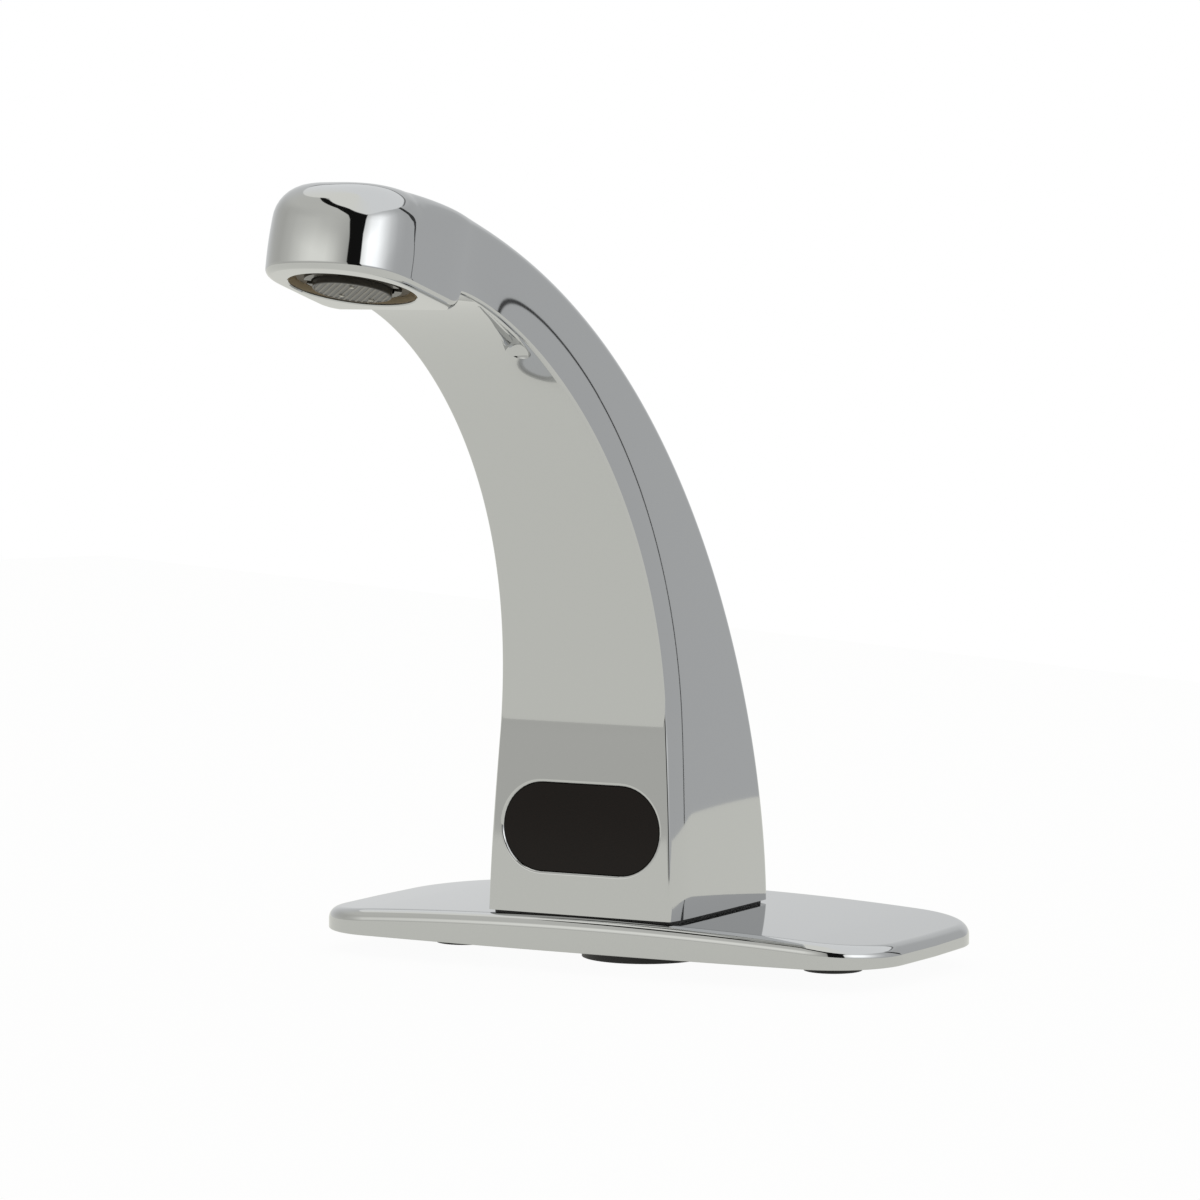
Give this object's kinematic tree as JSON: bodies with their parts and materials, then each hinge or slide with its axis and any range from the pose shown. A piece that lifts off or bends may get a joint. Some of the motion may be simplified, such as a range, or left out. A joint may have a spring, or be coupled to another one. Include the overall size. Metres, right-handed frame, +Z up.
{
  "type": "sensor tap",
  "caption": "Deck-mounted basin tap with an infrared sensor window, an arched hollow spout and a keyed outlet insert, on an oblong cover plate.",
  "frame": {"origin": "middle of the cover plate on the deck's surface", "axes": "+Z up from the deck, -Y to the front, where the spout reaches, +X to the right"},
  "size_m": [0.1554, 0.1884, 0.1854],
  "materials": {
    "chrome": "mirror-polished chrome plate on cast brass",
    "foam": "closed-cell foam",
    "rubber": "smooth black rubber",
    "black_plastic": "fine-grained moulding",
    "window_plastic": "polished infrared-pass plastic, near black",
    "steel": "plain stainless steel",
    "brass": "machined and cast brass",
    "contact_gold": "gold-flashed contacts",
    "board_green": "green solder mask",
    "diode_lens": "tinted epoxy lens",
    "receiver_lens": "dark epoxy lens",
    "ivory_plastic": "natural acetal",
    "winding": "moulded over-wrap of the winding",
    "lead_black": "cable jacket",
    "lead_red": "cable jacket",
    "hose_white": "milky polyethylene",
    "insert_plastic": "satin grey acetal",
    "spray_plastic": "dark moulding with parallel ribs"
  },
  "bodies": {
    "root": {"spout_casting": "chrome", "cover_plate": "chrome", "body_gasket": "rubber", "plate_gasket": "foam", "locating_plugs": "black_plastic", "plug_screws": "steel", "base_insert": "black_plastic", "stud_inserts": "brass", "base_screws": "steel", "power_socket": "black_plastic", "socket_pins": "contact_gold", "sensor_window": "window_plastic", "window_gasket": "rubber", "sensor_housing": "black_plastic", "housing_screws": "steel", "sensor_board": "board_green", "ir_emitter": "diode_lens", "ir_receiver": "receiver_lens", "light_baffle": "black_plastic", "valve_body": "brass", "filter_screen": "steel", "check_cartridge": "ivory_plastic", "check_spring": "steel", "valve_bonnet": "brass", "bonnet_screws": "steel", "core_tube": "steel", "plunger_spring": "steel", "coil": "winding", "coil_yoke": "steel", "coil_nut": "steel", "sensor_lead": "lead_black", "coil_lead": "lead_red", "riser_hose": "hose_white", "hose_ferrules": "brass", "outlet_elbow": "brass", "elbow_oring": "rubber", "outlet_adapter": "brass", "adapter_washer": "rubber"},
    "plunger_body": {"plunger": "steel", "plunger_seal": "rubber"},
    "piston_body": {"valve_piston": "ivory_plastic", "piston_seal": "rubber"},
    "check_body": {"check_poppet": "black_plastic"},
    "washer_body": {"aerator_washer": "rubber"},
    "aerator_body": {"aerator_housing": "insert_plastic", "aerator_insert": "spray_plastic", "aerator_screen": "steel"}
  },
  "joints": [
    {"name": "plunger_lift", "type": "slide", "parent": "root", "child": "plunger_body", "axis": [0, 0, 1], "range_m": [0, 0.002], "stiffness_N_per_m": 120, "springref_m": -0.004, "deforming": ["plunger_spring"]},
    {"name": "piston_lift", "type": "slide", "parent": "root", "child": "piston_body", "axis": [0, 0, 1], "range_m": [0, 0.0015]},
    {"name": "check_lift", "type": "slide", "parent": "root", "child": "check_body", "axis": [0, 0, 1], "range_m": [0, 0.002], "stiffness_N_per_m": 60, "springref_m": -0.003, "deforming": ["check_spring"]},
    {"name": "aerator_travel", "type": "slide", "parent": "root", "child": "washer_body", "axis": [0, -0.2588, -0.9659], "range_m": [0, 0.00401]},
    {"name": "aerator_turn", "type": "hinge", "parent": "washer_body", "child": "aerator_body", "pos_m": [0, -0.1337, 0.1571], "axis": [0, -0.2588, -0.9659], "range_deg": [0, 1440]}
  ],
  "couplings": [
    {"joint": "piston_lift", "follows": "plunger_lift", "ratio": 0.75},
    {"joint": "aerator_travel", "follows": "aerator_turn", "m_per_rad": 0.00015915}
  ]
}
